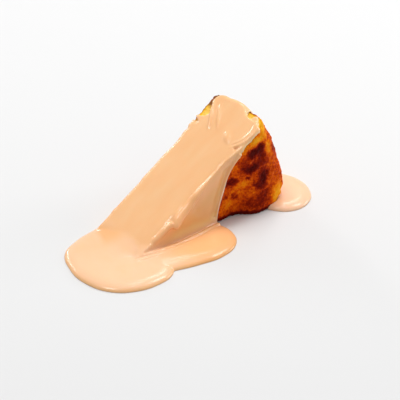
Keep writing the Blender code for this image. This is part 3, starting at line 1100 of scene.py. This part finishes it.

# %% [markdown]
# One number now stands for how far each point of the crust is baked: coarse and fine mottle all
# over, the patches on the baked top, and a little more for the base and the rim. At the foot, where the
# crust meets the ground, it darkens too: partly a darker baked edge, partly painted contact shade. A
# colour ramp turns it into gold, orange, brown and nearly black. With one number the colours can only
# follow each other in the order in which a crust takes them in the oven.

# %% How far the crust is baked
BAKED_COLOURS = (            # how far baked, and the colour that the eye sees
    (0.04, srgb(255, 176, 34)),
    (0.22, srgb(250, 144, 6)),
    (0.36, srgb(238, 106, 2)),
    (0.48, srgb(206, 70, 1)),
    (0.62, srgb(150, 34, 2)),
    (0.78, srgb(112, 16, 2)),
    (0.96, srgb(80, 6, 2)),
)
COARSE_MOTTLE = 0.3          # how much each of these adds to how far the crust is baked
FINE_MOTTLE = 0.62
MORE_ON_BASE = 0.16
MORE_ON_RIM = 0.2
# the foot's share is partly a darker baked edge and partly painted contact shade
FOOT_BAKE_AND_SHADE = 0.4


def crust_colour(finish, radius):
    """The crust's colour. radius is each point's distance from the round cake's middle."""
    mottle = finish.noise(6.0, 3.0, 0.6) * COARSE_MOTTLE + finish.noise(1.9, 3.0, 0.7) * FINE_MOTTLE
    on_top = finish.fade(finish.y, 1.0, 10.0)
    on_base = finish.share(finish.y, 30.0, 38.0)
    on_rim = finish.share(radius, 118.0, 121.0) * finish.share(finish.y, 0.0, 14.0)
    # painted contact shade along the foot, together with a darker baked edge
    foot_bake_and_shade = finish.fade(finish.z, 1.0, 3.0)
    baked = mottle + patches(finish) * on_top
    baked = baked + on_base * MORE_ON_BASE + on_rim * MORE_ON_RIM + foot_bake_and_shade * FOOT_BAKE_AND_SHADE
    return finish.ramp(baked, BAKED_COLOURS)


# %% [markdown]
# Under the crust the custard is yellow, and paler further in. At the far corner it is browned like the
# crust beside it. Two materials would meet in a hard line of faces. In one material the stored depth
# drives both the colour and the line where the crust starts, and noise makes that line ragged.

# %% The custard of the cut faces
DEEPEST = 4.0                # the custard's colour stays the same below this depth
CUSTARD_COLOURS = (          # share of that depth, and the colour
    (0.06, srgb(140, 78, 6)),
    (0.16, srgb(222, 150, 8)),
    (0.34, srgb(252, 196, 56)),
    (0.70, srgb(254, 208, 100)),
)
BROWNED = srgb(150, 96, 50)
CRUST_ENDS = (0.15, 0.6)     # mm under the crust, between which its colour gives way to the custard's


def custard_colour(finish, radius, depth):
    """The custard's colour. depth is each point's depth under the crust, in mm."""
    far_corner = finish.share(radius, 110.0, 114.0) * finish.share(finish.y, 36.0, 38.0)
    return finish.blend(far_corner, finish.ramp(depth * (1.0 / DEEPEST), CUSTARD_COLOURS), BROWNED)


def cake_finish():
    finish = Finish("baked_crust", Specular_IOR_Level=0.035)
    radius = finish.vector("MULTIPLY", finish.from_tip, (1.0, 0.0, 1.0))
    radius = finish.vector("LENGTH", radius, output="Value")
    depth = finish.stored("under_crust") * (0.5 + finish.noise(1.6, 2.0))
    crust = crust_colour(finish, radius)
    custard = custard_colour(finish, radius, depth)
    finish.feed("Base Color", finish.blend(finish.share(depth, *CRUST_ENDS), crust, custard))
    finish.feed("Roughness", 0.36 + finish.noise(1.6) * 0.24)
    pores = finish.noise(0.8, 3.0, 0.7) + finish.noise(2.6, 2.0) * 1.4
    finish.bump(pores, depth=0.5, strength=0.8)
    return finish.material


def dress(piece, material):
    """Gives the whole piece one material, and shades it smooth."""
    piece.data.materials.clear()
    piece.data.materials.append(material)
    for face in piece.data.polygons:
        face.material_index = 0
    work_on(piece)
    bpy.ops.object.shade_smooth()
    print(piece.name, "wears", material.name, "with", len(material.node_tree.nodes), "nodes")


dress(cake, cake_finish())

# %% [markdown]
# The sauce is one thing, but its colour isn't even: pale and cool where it lies flat in the pools, and
# warmer over the slope, partly because it is stretched thin there and partly as painted shade, as the
# slope tilts away from the lamp. The side pool is warmest, with painted reflection of the crust and
# painted shade beside the cake. One flat colour would look like plastic. Broad noise clouds the pools,
# and on the slope it is stretched downhill into streaks.

# %% The colours of the pools and the coat
POOL_COLOURS = (srgb(250, 196, 153), srgb(251, 202, 163))
POOL_BEHIND = srgb(250, 201, 164)
# partly painted shade: the coat's warmer tones stand for the slope's lower light as well as thin sauce
COAT_TONES_AND_SHADE = (srgb(251, 184, 127), srgb(254, 202, 150))
# painted reflection of the crust and painted shade in the side pool beside the cake
SIDE_POOL_REFLECTION = srgb(254, 184, 124)
SIDE_POOL_REFLECTION_STRENGTH = 0.8
STREAK_WIDTH = 9.0
DOWNHILL = (0.35, 1.0, 0.35)  # noise measured with this is nearly three times as long down the slope


def body_colour(finish, raised, beside, behind):
    """The colour of pools and coat. The masks say where it is off the ground, beside and behind."""
    pools = finish.blend(finish.noise(16.0, 2.0), *POOL_COLOURS)
    pools = finish.blend(behind, pools, POOL_BEHIND)
    streaks = finish.noise(STREAK_WIDTH, 2.0, place=finish.vector("MULTIPLY", finish.place, DOWNHILL))
    # the coat's colours carry part painted shade of the slope
    body = finish.blend(raised, pools, finish.blend(streaks, *COAT_TONES_AND_SHADE))
    # painted reflection and painted shade over the side pool
    return finish.blend(beside * SIDE_POOL_REFLECTION_STRENGTH, body, SIDE_POOL_REFLECTION)


print("streaks on the coat:", STREAK_WIDTH, "by", round(STREAK_WIDTH / DOWNHILL[0], 1), "mm")

# %% [markdown]
# At its rim a pool turns steep and stands in its own soft shadow, and looks darker and more orange
# there. The same happens in the crease at the foot of the slope. Both are bands of height above the
# ground, so Z finds them. They are kept off the curtain's foot, where other sauce runs down.

# %% The rims of the pools, and the crease at the slope's foot
RIM_COLOUR = srgb(250, 188, 128)
SIDE_RIM_COLOUR = srgb(238, 170, 104)
CREASE_COLOUR = srgb(246, 178, 112)
RIM_FADES = (0.6, 2.7)       # heights above the ground, in mm, between which each band comes or goes
CREASE_STARTS = (2.8, 3.8)
CREASE_FADES = (4.4, 8.0)
RIM_STRENGTH = 0.8
CREASE_STRENGTH = 0.7


def with_rims(finish, colour, beside, behind):
    low = finish.fade(finish.z, *RIM_FADES)
    by_curtain = finish.share(finish.x, 4.0, 14.0) * finish.share(finish.y, -15.0, -9.0)
    rim = low * (1.0 - behind) * (1.0 - by_curtain)
    return finish.blend(rim * RIM_STRENGTH, colour, finish.blend(beside, RIM_COLOUR, SIDE_RIM_COLOUR))


def with_crease(finish, colour):
    band = finish.share(finish.z, *CREASE_STARTS) * finish.fade(finish.z, *CREASE_FADES)
    crease = band * finish.share(finish.y, 14.0, 30.0) * finish.fade(finish.x, 12.0, 20.0)
    return finish.blend(crease * CREASE_STRENGTH, colour, CREASE_COLOUR)


print("rims are coloured up to", RIM_FADES[1], "mm above the ground, the crease up to", CREASE_FADES[1])

# %% [markdown]
# The curtain turns away from the lamp and is warm with light from the crust beside it. Low down the
# side pool throws light back on it, more than the render's few bounces carry, so its colour is lifted
# there. Its thin lip gets a painted highlight and a painted glow of light through it, as a nearly
# white colour. A curve that follows the curtain's drawn edge says how far each point is from it,
# without one more stored number.

# %% The curtain and its lip
CURTAIN_LOW = srgb(242, 180, 114)
CURTAIN_HIGH = srgb(248, 180, 116)
CURTAIN_LIT = srgb(255, 212, 141)
# painted highlight and painted glow on the curtain's thin lip
LIP_GLOW_AND_HIGHLIGHT = srgb(255, 222, 196)
EDGE_START = 65.4            # the curtain's edge meets the ground here,
EDGE_LEAN = 0.17             # leans by this much,
EDGE_BEND = 0.0046           # and leans more with each millimetre of height
LIP_WIDTH = (0.6, 1.9)       # mm from that edge, between which the lip's colour goes


def with_curtain(finish, colour, from_slope):
    """Paints the curtain. from_slope is how far each point is above the slope's plane, or below it."""
    curtain = finish.fade(from_slope, -9.0, 0.0) * finish.share(finish.z, 2.0, 9.0)
    curtain = curtain * finish.fade(finish.y, 2.0, 9.0)
    lit = finish.fade(finish.z, 4.0, 12.0) * finish.share(finish.x, 18.0, 34.0)
    shaded = finish.blend(finish.share(finish.z, 22.0, 34.0), CURTAIN_LOW, CURTAIN_HIGH)
    colour = finish.blend(curtain, colour, finish.blend(lit, shaded, CURTAIN_LIT))
    to_edge = finish.z * (finish.z * EDGE_BEND + EDGE_LEAN) + EDGE_START - finish.x
    # painted highlight and glow along the lip
    return finish.blend(finish.fade(to_edge, *LIP_WIDTH) * curtain, colour, LIP_GLOW_AND_HIGHLIGHT)


for x, z in CURTAIN_EDGE[:6]:
    print("the edge drawn at", x, "is painted at", round(EDGE_START + z * (EDGE_LEAN + z * EDGE_BEND), 1))

# %% [markdown]
# Along bare cake the coat is thin, and it gets a painted pale glow for the light that comes through
# it, which also lifts the shade on the near side of the top. Its height can't tell where that is,
# because the edge runs up and down, so the distance that each point stored says it. The far edge,
# where the coat turns over to the back, gets a painted glow too, for light that comes through from behind.

# %% Painted glow where the coat gets thin
# colours of the painted glow and lifted shade on the coat's thin edges
EDGE_GLOW_COLOUR = srgb(255, 222, 168)
FAR_EDGE_GLOW_COLOUR = srgb(255, 228, 190)
EDGE_GLOW_FADES = (1.9, 3.6)      # mm from bare cake
EDGE_GLOW_STRENGTH = 0.75
FAR_EDGE_GLOW_STRENGTH = 0.7


def with_edge_glow(finish, colour, on_coat):
    # painted glow along the far edge, for light from behind
    far_edge = finish.share(finish.y, 41.0, 44.0) * on_coat
    colour = finish.blend(far_edge * FAR_EDGE_GLOW_STRENGTH, colour, FAR_EDGE_GLOW_COLOUR)
    # painted glow and lifted shade along bare cake
    thin = finish.fade(finish.stored("from_bare_cake"), *EDGE_GLOW_FADES) * on_coat
    return finish.blend(thin * EDGE_GLOW_STRENGTH, colour, EDGE_GLOW_COLOUR)


print("thin edges of the coat are coloured within", EDGE_GLOW_FADES[1], "mm of bare cake")

# %% [markdown]
# Last come the gloss and the depth. Cream sauce is smooth and wet, so its roughness is low. Light
# goes a few millimetres into it, red further than blue, and comes out again: subsurface scattering
# does that, and a small weight keeps the form clear. The masks that several layers of colour share
# are worked out once, here. The border between pool and slope wanders up and down with a broad noise,
# and the layers are painted over each other, from the body to the edges.

# %% The cream sauce
WANDER = 9.0                 # the border between pool and slope wanders over this height, in mm


def sauce_finish():
    finish = Finish(
        "cream_sauce", Roughness=0.2, Specular_IOR_Level=0.5, Subsurface_Weight=0.15,
        Subsurface_Scale=0.005, Subsurface_Radius=(1.0, 0.5, 0.25))
    from_slope = finish.z * math.cos(SLICE_ANGLE) - finish.x * math.sin(SLICE_ANGLE)
    raised = finish.share(finish.z + (finish.noise(14.0) - 0.5) * WANDER, 3.0, 9.0)
    on_coat = finish.share(from_slope, -4.0, -1.0) * raised
    behind = finish.share(finish.x, 96.0, 108.0)
    beside = finish.share(finish.x, 4.0, 36.0) * finish.fade(finish.x, 66.0, 80.0)
    beside = beside * finish.fade(finish.y, -8.0, 4.0)
    colour = body_colour(finish, raised, beside, behind)
    colour = with_rims(finish, colour, beside, behind)
    colour = with_crease(finish, colour)
    colour = with_curtain(finish, colour, from_slope)
    colour = with_edge_glow(finish, colour, on_coat)
    finish.feed("Base Color", colour)
    return finish.material


dress(sauce, sauce_finish())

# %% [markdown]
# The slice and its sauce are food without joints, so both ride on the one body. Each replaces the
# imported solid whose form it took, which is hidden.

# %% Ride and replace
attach(cake, "root")
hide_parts("cheesecake")
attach(sauce, "root")
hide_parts("cream_sauce")
